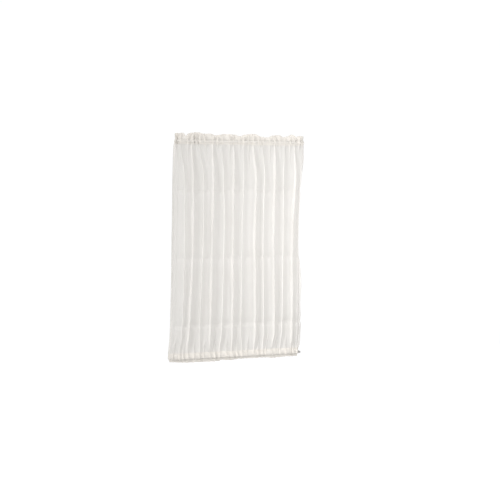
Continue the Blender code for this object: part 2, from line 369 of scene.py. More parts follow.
def mesh_object(name: str, points: np.ndarray, faces: np.ndarray) -> bpy.types.Object:
    """Makes a smooth-shaded mesh object at the origin.

    Args:
        name: the piece's name.
        points: its points, in mm.
        faces: its quads, as rows of point numbers.

    Returns:
        The new object, linked to the scene.
    """
    mesh = bpy.data.meshes.new(name)
    mesh.vertices.add(len(points))
    mesh.vertices.foreach_set("co", (points * MM).astype(np.float32).ravel())
    mesh.loops.add(faces.size)
    mesh.loops.foreach_set("vertex_index", faces.astype(np.int32).ravel())
    mesh.polygons.add(len(faces))
    mesh.polygons.foreach_set("loop_start", np.arange(0, faces.size, 4, dtype=np.int32))
    mesh.update(calc_edges=True)
    mesh.validate()
    mesh.shade_smooth()
    return new_object(name, mesh)


def add_uv(obj: bpy.types.Object, name: str, corners: np.ndarray) -> None:
    """Gives a piece a named UV map, from the place of each corner of each face, in order."""
    layer = obj.data.uv_layers.new(name=name)
    layer.data.foreach_set("uv", corners.astype(np.float32).ravel())


def hand_over(piece: bpy.types.Object, material: bpy.types.Material) -> None:
    """Dresses a finished piece, lets it ride on the part's one body, and reports it.

    Args:
        piece: the piece.
        material: what it is made of.
    """
    piece.data.materials.append(material)
    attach(piece, "root")
    LOG.info("made %s with %d faces", piece.name, len(piece.data.polygons))


Colour = tuple[float, float, float, float]
WHITE: Colour = (1.0, 1.0, 1.0, 1.0)
Socket = bpy.types.NodeSocket
SocketKinds = dict[str, str]


class Effect(Enum):
    """The surface effects that several finishes share, by the name of their node group."""

    MOTTLE = "soft_mottle"
    YARNS = "side_by_side_yarns"
    GRAIN = "fine_grain"


class Graph:
    """A node tree, with a short way to add joined nodes."""

    # The sockets of the Mix node that hold colours: its two inputs and its output.
    mixed_colours = (6, 7)
    mixed_colour = 2

    def __init__(self, tree: bpy.types.NodeTree) -> None:
        """Keeps the tree that the nodes go into."""
        self.tree = tree

    def add(self, kind: str, inputs: dict | None = None, **settings: object) -> bpy.types.Node:
        """Adds a node.

        Args:
            kind: the node's type, without the ShaderNode that each of them starts with.
            inputs: what goes into its sockets, as feed takes it.
            settings: the node's own properties, such as its operation.

        Returns:
            The node.
        """
        node = self.tree.nodes.new(f"ShaderNode{kind}")
        for name, value in settings.items():
            setattr(node, name, value)
        self.feed(node, inputs or {})
        return node

    def feed(self, node: bpy.types.Node, inputs: dict) -> None:
        """Fills a node's sockets.

        Args:
            node: the node.
            inputs: what goes into them, by their name or number: a value or another node's output.
        """
        for name, value in inputs.items():
            if isinstance(value, Socket):
                self.tree.links.new(value, node.inputs[name])
            else:
                node.inputs[name].default_value = value

    def math(self, operation: str, *values: object) -> Socket:
        """Adds a Math node and gives its result."""
        return self.add("Math", dict(enumerate(values)), operation=operation).outputs[0]

    def ramp(self, value: Socket, low: float, high: float, start: float = 0.0, end: float = 1.0) -> Socket:
        """Spreads the values from low to high over those from start to end."""
        names = ("Value", "From Min", "From Max", "To Min", "To Max")
        return self.add("MapRange", dict(zip(names, (value, low, high, start, end)))).outputs[0]

    def place(self, effect: Effect, inputs: dict) -> bpy.types.Node:
        """Places a shared effect, and gives its group's node."""
        return self.add("Group", inputs, node_tree=bpy.data.node_groups[effect.value])

    def mix_colour(self, share: object, first: object, second: object) -> Socket:
        """Mixes a share of the second colour into the first, and gives the mixed one."""
        inputs = {0: share, **dict(zip(self.mixed_colours, (first, second)))}
        return self.add("Mix", inputs, data_type="RGBA").outputs[self.mixed_colour]

    def mix_shader(self, share: object, first: bpy.types.Node, second: bpy.types.Node) -> bpy.types.Node:
        """Mixes a share of the second shader into the first, and gives the mixing node."""
        return self.add("MixShader", {0: share, 1: first.outputs[0], 2: second.outputs[0]})


@dataclass(frozen=True)
class Effects:
    """Makes the node groups of the shared effects."""

    slub_stretch: float = 0.05

    def build(self) -> None:
        """Makes all of them."""
        self.mottle()
        self.yarns()
        self.grain()

    @staticmethod
    def group(kind: Effect, takes: SocketKinds, gives: SocketKinds) -> tuple[Graph, dict, bpy.types.Node]:
        """Starts a node group.

        Args:
            kind: the effect.
            takes: the group's inputs, as names and socket kinds.
            gives: its outputs, in the same way.

        Returns:
            The group's graph, its inputs' sockets by name, and the node that its outputs go to.
        """
        tree = bpy.data.node_groups.new(kind.value, "ShaderNodeTree")
        for way, sockets in (("INPUT", takes), ("OUTPUT", gives)):
            for name, socket in sockets.items():
                tree.interface.new_socket(name=name, in_out=way, socket_type=f"NodeSocket{socket}")
        start, end = tree.nodes.new("NodeGroupInput"), tree.nodes.new("NodeGroupOutput")
        return Graph(tree), {name: start.outputs[name] for name in takes}, end

    def mottle(self) -> None:
        """Soft patches of a second colour, as handling, age and uneven dye leave them."""
        colours = {"Colour": "Color", "Patches": "Color"}
        takes = {"Vector": "Vector", "Scale": "Float", "Amount": "Float", **colours}
        graph, given, end = self.group(Effect.MOTTLE, takes, {"Colour": "Color"})
        noise = graph.add("TexNoise", {"Vector": given["Vector"], "Scale": given["Scale"], "Detail": 3.0})
        mask = graph.math("MULTIPLY", graph.ramp(noise.outputs["Fac"], 0.35, 0.65), given["Amount"])
        graph.feed(end, {"Colour": graph.mix_colour(mask, given["Colour"], given["Patches"])})

    def yarns(self) -> None:
        """Round yarns side by side across X, each a little thicker or thinner than the next."""
        takes = {"Vector": "Vector", "Pitch": "Float", "Slub": "Float"}
        graph, given, end = self.group(Effect.YARNS, takes, {"Height": "Float", "Tone": "Float"})
        along = graph.add("SeparateXYZ", {0: given["Vector"]})
        turns = graph.math("DIVIDE", along.outputs["X"], given["Pitch"])
        number = graph.math("FLOOR", turns)
        round_yarn = graph.math("ABSOLUTE", graph.math("SINE", graph.math("MULTIPLY", turns, math.pi)))
        own = graph.add("TexWhiteNoise", {"W": number}, noise_dimensions="1D")
        drawn_out = graph.math("MULTIPLY", along.outputs["Y"], self.slub_stretch)
        lengths = graph.add("CombineXYZ", {0: number, 1: drawn_out})
        slubs = graph.add("TexNoise", {"Vector": lengths.outputs[0], "Scale": 1.0, "Detail": 1.0})
        tone = graph.math("MULTIPLY", graph.math("ADD", own.outputs["Value"], slubs.outputs["Fac"]), 0.5)
        uneven = graph.math("MULTIPLY", graph.math("SUBTRACT", tone, 0.5), given["Slub"])
        height = graph.math("MULTIPLY", round_yarn, graph.math("ADD", uneven, 1.0))
        graph.feed(end, {"Height": height, "Tone": tone})

    def grain(self) -> None:
        """Fine grain, drawn out along one axis where its stretch there is small."""
        takes = {"Vector": "Vector", "Stretch": "Vector", "Scale": "Float"}
        graph, given, end = self.group(Effect.GRAIN, takes, {"Height": "Float", "Mask": "Float"})
        drawn = graph.add("VectorMath", {0: given["Vector"], 1: given["Stretch"]}, operation="MULTIPLY")
        noise = graph.add("TexNoise", {"Vector": drawn.outputs[0], "Scale": given["Scale"], "Detail": 4.0})
        graph.feed(end, {"Height": noise.outputs["Fac"], "Mask": graph.ramp(noise.outputs["Fac"], 0.3, 0.7)})


def new_material(name: str) -> tuple[bpy.types.Material, Graph, bpy.types.Node, bpy.types.Node]:
    """Starts a material.

    Args:
        name: the material's name.

    Returns:
        The material, its graph, its Principled shader and its output.
    """
    material = bpy.data.materials.new(name)
    material.use_nodes = True
    nodes = material.node_tree.nodes
    return material, Graph(material.node_tree), nodes["Principled BSDF"], nodes["Material Output"]


@dataclass(frozen=True)
class Finish:
    """What every finish has: a colour, soft patches of a second one, and a relief in mm."""

    colour: Colour
    patches: Colour
    patch_scale: float
    patch_amount: float
    relief: float

    def mottled(self, graph: Graph, place: Socket) -> Socket:
        """Mixes the patches into the colour.

        Args:
            graph: the material's graph.
            place: the Object coordinates.

        Returns:
            The patchy colour.
        """
        patches = {"Colour": self.colour, "Patches": self.patches, "Amount": self.patch_amount}
        soft = graph.place(Effect.MOTTLE, {"Vector": place, "Scale": self.patch_scale, **patches})
        return soft.outputs["Colour"]

    def raised(self, graph: Graph, height: Socket, share: float = 1.0) -> Socket:
        """Makes the relief.

        Args:
            graph: the material's graph.
            height: the relief's heights, about from 0 to 1.
            share: how much of it shows.

        Returns:
            The normals.
        """
        relief = {"Strength": share, "Distance": self.relief * MM, "Height": height}
        return graph.add("Bump", relief).outputs[0]


@dataclass(frozen=True)
class VoileFinish(Finish):
    """Ivory voile: a fine plain weave of uneven yarns, which lets through some light and what is behind.
    Where it is doubled, in the two pockets and their ruffles, a warmer, darker tint is painted on as shade
    of the doubled layers."""

    colour: Colour = (0.86, 0.843, 0.82, 1.0)
    patches: Colour = (0.83, 0.81, 0.78, 1.0)
    patch_scale: float = 9.0
    patch_amount: float = 0.6
    relief: float = 0.03
    # painted shade: a warmer, darker tint where the cloth lies doubled in the pockets and ruffles
    doubled_shade: Colour = (0.86, 0.82, 0.765, 1.0)
    doubled_shade_ease: float = 6.0
    doubled_shade_amount: float = 0.85
    glowing: Colour = (0.86, 0.843, 0.82, 1.0)
    cover: float = 0.60
    glow: float = 0.15
    yarn_pitch: float = 0.6
    yarn_slub: float = 0.5
    slub_shade: Colour = (0.80, 0.78, 0.75, 1.0)
    slub_tint: float = 0.25
    roughness: float = 0.85
    sheen: float = 0.15

    def doubled_shade_mask(self, graph: Graph, place: Socket) -> Socket:
        """Masks where the painted shade of the doubled layers goes: above the lowest stitch of the upper
        pocket or below the other's highest.

        Args:
            graph: the material's graph.
            place: the Object coordinates.

        Returns:
            The mask.
        """
        middle = (TOP_LOWER_STITCH + BOTTOM_UPPER_STITCH) / 2
        half = (TOP_LOWER_STITCH - BOTTOM_UPPER_STITCH) / 2
        height = graph.add("SeparateXYZ", {0: place}).outputs["Z"]
        away = graph.math("ABSOLUTE", graph.math("SUBTRACT", height, middle * MM))
        return graph.ramp(away, (half - self.doubled_shade_ease) * MM, half * MM, 0.0, self.doubled_shade_amount)

    def weave(self, graph: Graph, flat: Socket) -> tuple[Socket, ...]:
        """Weaves warp and weft, each yarn over and under the next.

        Args:
            graph: the material's graph.
            flat: the place on the cut cloth, in mm.

        Returns:
            The weave's height and the tone of its warp.
        """
        parts = graph.add("SeparateXYZ", {0: flat})
        turned = graph.add("CombineXYZ", {0: parts.outputs["Y"], 1: parts.outputs["X"]}).outputs[0]
        yarn = {"Pitch": self.yarn_pitch, "Slub": self.yarn_slub}
        warp = graph.place(Effect.YARNS, {"Vector": flat, **yarn})
        weft = graph.place(Effect.YARNS, {"Vector": turned, **yarn})
        over = graph.add("TexChecker", {"Vector": flat, "Scale": 1 / self.yarn_pitch}).outputs["Fac"]
        height = graph.add("Mix", {0: over, 2: warp.outputs["Height"], 3: weft.outputs["Height"]})
        return height.outputs[0], warp.outputs["Tone"]

    def material(self, cut: tuple[float, float]) -> bpy.types.Material:
        """Makes the cloth's material.

        Args:
            cut: the width and length of the cut cloth, in mm, which its UV map covers.

        Returns:
            The material.
        """
        material, graph, shader, output = new_material("ivory_voile")
        coordinates = graph.add("TexCoord")
        place = coordinates.outputs["Object"]
        flat = graph.add("Mapping", {"Vector": coordinates.outputs["UV"], "Scale": (*cut, 1.0)})
        height, tone = self.weave(graph, flat.outputs[0])
        # the doubled pockets and ruffles get the painted warmer shade
        doubled_shaded = graph.mix_colour(self.doubled_shade_mask(graph, place), self.mottled(graph, place), self.doubled_shade)
        slubs = graph.math("MULTIPLY", tone, self.slub_tint)
        looks = {
            "Base Color": graph.mix_colour(slubs, doubled_shaded, self.slub_shade),
            "Roughness": self.roughness,
            "Sheen Weight": self.sheen,
            "Normal": self.raised(graph, height),
        }
        graph.feed(shader, looks)
        cloth = graph.mix_shader(self.glow, shader, graph.add("BsdfTranslucent", {"Color": self.glowing}))
        sheer = graph.mix_shader(self.cover, graph.add("BsdfTransparent"), cloth)
        graph.feed(output, {"Surface": sheer.outputs[0]})
        return material


@dataclass(frozen=True)
class ThreadFinish(Finish):
    """Spun sewing thread in the cloth's ivory."""

    colour: Colour = (0.84, 0.82, 0.79, 1.0)
    patches: Colour = (0.78, 0.755, 0.72, 1.0)
    patch_scale: float = 60.0
    patch_amount: float = 1.0
    relief: float = 0.03
    plies: float = 0.25
    ply_slub: float = 0.3
    ply_stretch: tuple[float, float, float] = (1.6, 1.0, 1.0)
    twist: float = 35.0
    roughness: float = 0.7

    def material(self) -> bpy.types.Material:
        """Makes the thread's material.

        Returns:
            The material.
        """
        material, graph, shader, _ = new_material("sewing_thread")
        coordinates = graph.add("TexCoord")
        turned = {"Rotation": (0.0, 0.0, math.radians(self.twist)), "Scale": self.ply_stretch}
        wound = graph.add("Mapping", {"Vector": coordinates.outputs["UV"], **turned})
        plies = {"Vector": wound.outputs[0], "Pitch": self.plies, "Slub": self.ply_slub}
        looks = {
            "Base Color": self.mottled(graph, coordinates.outputs["Object"]),
            "Roughness": self.roughness,
            "Normal": self.raised(graph, graph.place(Effect.YARNS, plies).outputs["Height"]),
        }
        graph.feed(shader, looks)
        return material


@dataclass(frozen=True)
class RodFinish(Finish):
    """Plain grey steel tube, drawn lengthwise and a little dulled."""

    colour: Colour = (0.56, 0.545, 0.525, 1.0)
    patches: Colour = (0.48, 0.465, 0.445, 1.0)
    patch_scale: float = 25.0
    patch_amount: float = 0.6
    relief: float = 0.02
    draw_lines: tuple[float, float, float] = (0.03, 1.0, 1.0)
    line_scale: float = 2200.0
    shiniest: float = 0.32
    dullest: float = 0.46
    metallic: float = 0.9

    def material(self) -> bpy.types.Material:
        """Makes the rods' material.

        Returns:
            The material.
        """
        material, graph, shader, _ = new_material("drawn_steel")
        place = graph.add("TexCoord").outputs["Object"]
        lines = {"Vector": place, "Stretch": self.draw_lines, "Scale": self.line_scale}
        drawn = graph.place(Effect.GRAIN, lines)
        looks = {
            "Base Color": self.mottled(graph, place),
            "Metallic": self.metallic,
            "Roughness": graph.ramp(drawn.outputs["Mask"], 0.0, 1.0, self.shiniest, self.dullest),
            "Normal": self.raised(graph, drawn.outputs["Height"]),
        }
        graph.feed(shader, looks)
        return material


@dataclass(frozen=True)
class FloorFinish(Finish):
    """A pale matt floor, which shows dimmer through the cloth, as the rest of the room does."""

    colour: Colour = (0.92, 0.92, 0.92, 1.0)
    patches: Colour = (0.90, 0.90, 0.895, 1.0)
    patch_scale: float = 1.5
    patch_amount: float = 1.0
    relief: float = 0.2
    relief_share: float = 0.5
    grain_scale: float = 300.0
    glow: float = 0.25
    roughness: float = 0.9

    def material(self, seen_through: Colour) -> bpy.types.Material:
        """Makes the floor's material.

        Args:
            seen_through: the floor's colour where it is seen through the cloth.

        Returns:
            The material.
        """
        material, graph, shader, output = new_material("pale_floor")
        place = graph.add("TexCoord").outputs["Object"]
        path = graph.add("LightPath").outputs
        even = {"Vector": place, "Stretch": (1, 1, 1), "Scale": self.grain_scale}
        grain = graph.place(Effect.GRAIN, even).outputs["Height"]
        looks = {
            "Base Color": self.mottled(graph, place),
            "Roughness": self.roughness,
            "Emission Color": WHITE,
            "Emission Strength": graph.math("MULTIPLY", path["Is Camera Ray"], self.glow),
            "Normal": self.raised(graph, grain, self.relief_share),
        }
        graph.feed(shader, looks)
        passed = graph.math("MINIMUM", path["Transparent Depth"], path["Is Camera Ray"])
        seen = graph.mix_shader(passed, shader, graph.add("Emission", {"Color": seen_through}))
        graph.feed(output, {"Surface": seen.outputs[0]})
        return material


class Rod(Enum):
    """The two sash rods, by the name of their solids."""

    TOP = "top_rod"
    BOTTOM = "bottom_rod"


@dataclass(frozen=True)
class RodLine:
    """Where a rod runs: straight, round a bend at each end, and back to the door."""

    half: float
    height: float
    radius: float = 4.0
    bend: float = 12.0
    reach: float = 25.0

    @classmethod
    def of(cls, rod: Rod, solid_sides: int = 16) -> "RodLine":
        """Reads a rod's place from its solid.

        Args:
            rod: which rod.
            solid_sides: how many flats go round the solid, whose corners lie on the rod's radius.

        Returns:
            The rod's line.
        """
        low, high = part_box(rod.value)
        flat_out = cls.radius * math.cos(math.pi / solid_sides)
        half = (high.x - low.x) / 2 / MM - flat_out
        return cls(half=round(half, 1), height=round((low.z + high.z) / 2 / MM, 1))


@dataclass(frozen=True)
class SashRod:
    """One rod: a tube that the slimmer one slides in, both turned back to the door at their ends."""

    rod: Rod
    line: RodLine
    sides: int = 40
    bend_steps: int = 10
    slimmer: float = 0.4
    joint: float = 70.0
    wall: float = 0.8
    mouth: float = 6.0
    smooth_angle: float = 35.0

    def build(self) -> bpy.types.Object:
        """Draws the tube from its left end to its right one, and opens its two mouths.

        Returns:
            The rod.
        """
        line = self.line
        leg = line.reach - line.bend
        bpy.ops.object.select_all(action="DESELECT")
        bpy.ops.mesh.primitive_circle_add(
            vertices=self.sides,
            radius=line.radius * MM,
            fill_type="NGON",
            location=(-line.half * MM, 0.0, line.height * MM),
            rotation=(math.radians(90), 0.0, 0.0),
        )
        tube = bpy.context.active_object
        tube.name = f"sash_{self.rod.value}"
        bpy.ops.object.transform_apply(location=True, rotation=True, scale=True)
        bpy.ops.object.mode_set(mode="EDIT")
        bpy.ops.mesh.select_all(action="SELECT")
        self.draw(0.0, -leg)
        self.turn_left(-line.half + line.bend)
        self.draw(self.joint + line.half - line.bend, 0.0)
        bpy.ops.mesh.inset(thickness=self.slimmer * MM)
        self.draw(line.half - line.bend - self.joint, 0.0)
        self.turn_left(line.half - line.bend)
        self.draw(0.0, leg)
        self.open_mouths(tube)
        bpy.ops.mesh.select_all(action="SELECT")
        bpy.ops.mesh.normals_make_consistent(inside=False)
        bpy.ops.object.mode_set(mode="OBJECT")
        bpy.ops.object.shade_smooth_by_angle(angle=math.radians(self.smooth_angle))
        return tube

    @staticmethod
    def draw(across: float, back: float) -> None:
        """Extrudes the selected end along X and Y."""
        bpy.ops.mesh.extrude_region_move(TRANSFORM_OT_translate={"value": (across * MM, back * MM, 0.0)})

    def turn_left(self, centre: float) -> None:
        """Spins the selected end a quarter turn to the left of its way.

        Args:
            centre: how far along X the middle of the bend lies.
        """
        bpy.ops.mesh.spin(
            steps=self.bend_steps,
            angle=-math.pi / 2,
            center=(centre * MM, (self.line.bend - self.line.reach) * MM, self.line.height * MM),
            axis=(0.0, 0.0, 1.0),
            use_auto_merge=False,
        )

    def open_mouths(self, tube: bpy.types.Object) -> None:
        """Sinks the two end faces, inside the tube's wall.

        Args:
            tube: the rod, in edit mode.
        """
        bpy.ops.mesh.select_all(action="DESELECT")
        bpy.ops.mesh.select_mode(type="FACE")
        mesh = bmesh.from_edit_mesh(tube.data)
        for face in mesh.faces:
            if face.calc_center_median().y > -self.wall * MM / 2:
                face.select_set(True)
        bmesh.update_edit_mesh(tube.data)
        bpy.ops.mesh.inset(thickness=self.wall * MM, use_individual=True)
        self.draw(0.0, -self.mouth)


@dataclass(frozen=True)
class DoorPlan:
    """The line that the cloth follows, seen from above, at any height between the rods."""

    top: RodLine
    bottom: RodLine
    left_return: float = 4.0

    def half(self, height: np.ndarray) -> np.ndarray:
        """The half length of the line at each height."""
        share = np.clip((self.top.height - height) / (self.top.height - self.bottom.height), 0.0, 1.0)
        return self.top.half + share * (self.bottom.half - self.top.half)

    def left_side(self, height: np.ndarray) -> np.ndarray:
        """Where the left side lies: past the bend of the rod, on its way back to the door."""
        bend = self.top.bend
        return -(self.half(height) - bend + bend * math.pi / 2 + self.left_return)

    def right_side(self, height: np.ndarray) -> np.ndarray:
        """Where the right side lies."""
        return read_table(height, RIGHT_SIDE, "height", "along")

    def place(self, along: np.ndarray, out: np.ndarray, height: np.ndarray) -> np.ndarray:
        """Finds the points that stand out from the line.

        Args:
            along: how far along the line each point lies, from its middle.
            out: how far each stands out from the line, towards the viewer or past the ends.
            height: the nominal height of each point, which picks the line's length.

        Returns:
            The points' X and Y, in the last axis.
        """
        bend, reach = self.top.bend, self.top.reach
        side = np.sign(along)
        straight = self.half(height) - bend
        past = np.maximum(np.abs(along) - straight, 0.0)
        turn = np.minimum(past / bend, math.pi / 2)
        beyond = past - bend * turn
        across = np.minimum(np.abs(along), straight) + (bend + out) * np.sin(turn)
        back = -reach + bend - (bend + out) * np.cos(turn) + beyond
        return np.stack([side * across, back], axis=-1)


@dataclass(frozen=True)
class LongFolds:
    """The folds that hang from rod to rod. Each rises slowly from its valley and steeply at its crest,
    and is laid over there, so that three layers lie in its bright line."""

    plan: DoorPlan
    rising_shares: tuple[float, ...] = (0.0, 0.28, 0.52, 0.71, 0.85, 0.95, 1.0)
    main_steepening: float = 4.0
    small_steepening: float = 2.6
    main_tuck: float = 12.0
    small_tuck: float = 0.75
    tuck_depth: float = 2.0
    valley_share: float = 0.27
    first_valley_share: float = 0.62
    last_rise: float = 2.0
    crest_drift: Wander = Wander(0.25, 380.0, 20)
    uneven_rise: Wander = Wander(0.10, 420.0, 50)
    uneven_tuck: Wander = Wander(0.3, 300.0, 80)

    def crests(self, height: np.ndarray) -> list[np.ndarray]:
        """Finds the crests' lines, which wander a little.

        Args:
            height: the rows' heights.

        Returns:
            The place of each fold's crest along the rod, by row.
        """
        keys = (BOTTOM_UPPER_STITCH, LOW, MIDDLE, HIGH, TOP_LOWER_STITCH)
        found = []
        for number, fold in enumerate(FOLDS):
            places = (fold.bottom_right, fold.low, fold.middle, fold.high, fold.top_right)
            found.append(smooth_through(height, keys, places) + self.crest_drift.at(height, number))
        return found

    def profile(self, height: np.ndarray) -> tuple[np.ndarray, np.ndarray]:
        """Shapes the folds.

        Args:
            height: the rows' heights.

        Returns:
            Places along the line and how far they stand out, each by row and fold column.
        """
        crests = self.crests(height)
        left, right = self.plan.left_side(height), self.plan.right_side(height)
        valley = crests[0] - self.first_valley_share * (crests[0] - left)
        along, out = [left, (left + valley) / 2], [np.zeros_like(height)] * SIDE_COLUMNS
        for number, fold in enumerate(FOLDS):
            rise = fold.rise * (1 + self.uneven_rise.at(height, number))
            crest = crests[number]
            steepening = self.main_steepening if fold.main else self.small_steepening
            for share in self.rising_shares:
                along.append(valley + share * (crest - valley))
                out.append(-fold.dip + share**steepening * (rise + fold.dip))
            if number + 1 < len(FOLDS):
                tuck = self.main_tuck if fold.main else self.small_tuck * fold.rise
                along.append(crest - (1 + self.uneven_tuck.at(height, number)) * tuck)
                out.append(np.full_like(height, -fold.dip - self.tuck_depth))
                valley = crest + self.valley_share * (crests[number + 1] - crest)
        for share, stands in zip(RIGHT_SHARES, (0.0, -FOLDS[-1].dip / 2, self.last_rise)):
            along.append(crests[-1] + share * (right - crests[-1]))
            out.append(np.full_like(height, stands))
        return np.stack(along, axis=1), np.stack(out, axis=1)


@dataclass(frozen=True)
class RodGathers:
    """The gathers that the cloth is pushed into on each rod: two for each long fold. All of them are
    laid over in the pockets. Under the upper one the spans between the main folds are nearly flat."""

    plan: DoorPlan
    wave: tuple[float, ...] = (-1.0, -0.4, 1.0, -0.4)
    tucked_under: float = -1.15
    pinch: float = 0.36
    top_tuck: float = 10.0
    bottom_tuck: float = 6.0
    pocket_tuck: float = 13.0
    flat_pull: float = 0.3
    right_wave: tuple[float, ...] = (0.0, -1.0, 1.2)
    left_fade: float = 1.0
    right_fade: float = 2.2

    def profile(self, height: np.ndarray, laid: np.ndarray) -> tuple[np.ndarray, np.ndarray]:
        """Shapes the gathers at the nearer rod, with as many columns as the long folds.

        Args:
            height: the rows' heights.
            laid: how far the gathers are laid over in each row, as a column.

        Returns:
            Places along the line and a wave from about -1 to 1, each by row and fold column.
        """
        top = np.array([place for fold in FOLDS for place in (fold.top_left, fold.top_right)])
        bottom = np.array([place for fold in FOLDS for place in (fold.bottom_left, fold.bottom_right)])
        upper = (height > self.plan.bottom.height / 2)[:, None]
        crests = np.where(upper, top, bottom)
        start, end = self.plan.left_side(height)[:, None], self.plan.right_side(height)[:, None]
        valleys = (np.hstack([start, crests[:, :-1]]) + crests) / 2
        before = crests + self.pinch * (valleys - crests)
        beside = crests[:, :-1] + self.pinch * (valleys[:, 1:] - crests[:, :-1])
        hanging_tuck = np.where(upper, self.top_tuck, self.bottom_tuck)
        tuck = hanging_tuck + laid * (self.pocket_tuck - hanging_tuck)
        small = np.array([not fold.main for fold in FOLDS for _ in range(FOLD_GATHERS)])[:-1]
        share = np.where(upper & small, laid, 1.0)
        after = beside + share * (crests[:, :-1] - tuck - beside)
        along = [start, (start + valleys[:, :1]) / 2]
        for number in range(crests.shape[1]):
            one = slice(number, number + 1)
            along += [valleys[:, one], before[:, one], crests[:, one]]
            if number + 1 < crests.shape[1]:
                along.append(after[:, one])
        along += [crests[:, -1:] + far * (end - crests[:, -1:]) for far in RIGHT_SHARES]
        level_wave = self.padded(self.wave * FOLD_GATHERS * len(FOLDS), 0.0, self.right_wave)
        wave = np.tile(level_wave, (len(height), 1))
        under_crests = slice(SIDE_COLUMNS + len(self.wave) - 1, -len(RIGHT_SHARES), len(self.wave))
        wave[:, under_crests] += share * (self.tucked_under - self.wave[-1])
        return np.hstack(along), np.where(upper, self.pull(laid) * wave, wave)

    @staticmethod
    def padded(folds: Sequence[float], left: float, right: Sequence[float]) -> np.ndarray:
        """Adds the columns of the two sides to values for all columns of the folds."""
        return np.array([left] * SIDE_COLUMNS + list(folds)[:-1] + list(right))

    def pull(self, laid: np.ndarray) -> np.ndarray:
        """Finds how strongly each column is gathered on and under the upper rod.

        Args:
            laid: how far the gathers are laid over in each row, as a column.

        Returns:
            The strength, by row and fold column.
        """
        main = [float(fold.main) for fold in FOLDS for _ in range(FOLD_COLUMNS)]
        strong = self.padded(main, 0.0, [0.0] * len(RIGHT_SHARES))
        return self.flat_pull + (1 - self.flat_pull) * np.maximum(strong, laid)

    def fades(self) -> np.ndarray:
        """Sets how soon each column's gathers fade: the right one of a pair goes sooner, into its fold's
        crest.

        Returns:
            The power with which each of them fades.
        """
        half = FOLD_COLUMNS // FOLD_GATHERS
        powers = [self.left_fade] * half + [self.right_fade] * half
        return self.padded(powers * len(FOLDS), self.left_fade, [self.left_fade] * len(RIGHT_SHARES))


@dataclass(frozen=True)
class Crimps:
    """The fine crimps that a gathering line leaves, each of which runs its own way into the cloth."""

    seed: int
    spacing: float = 1.4
    shift: float = 0.28
    widths: tuple[float, float] = (0.26, 0.42)
    tall: float = 1.9
    uneven_tall: tuple[float, float] = (0.45, 1.25)
    shortest: float = 10.0
    longest: float = 75.0
    fade_power: float = 1.4

    def field(self, columns: np.ndarray, away: np.ndarray) -> np.ndarray:
        """Adds the crimps up over the sheet.

        Args:
            columns: the columns' places, in columns of the fold table.
            away: how far each row lies from the gathered band, in mm.

        Returns:
            How far each point stands out, for each row and column.
        """
        random = np.random.default_rng(self.seed)
        total = np.zeros((len(away), len(columns)))
        span = columns[-1] - columns[0]
        for number in range(int(span / self.spacing)):
            centre = columns[0] + (number + 0.5 + random.uniform(-self.shift, self.shift)) * self.spacing
            width = self.spacing * random.uniform(*self.widths)
            tall = self.tall * random.uniform(*self.uneven_tall)
            reach = self.shortest + (self.longest - self.shortest) * random.uniform() ** 2
            ridge = tall * np.exp(-(((columns - centre) / width) ** 2))
            fade = np.exp(-((away / reach) ** self.fade_power))
            evened = tall * width * math.sqrt(math.pi) / span
            total += np.outer(fade, ridge - evened)
        return total


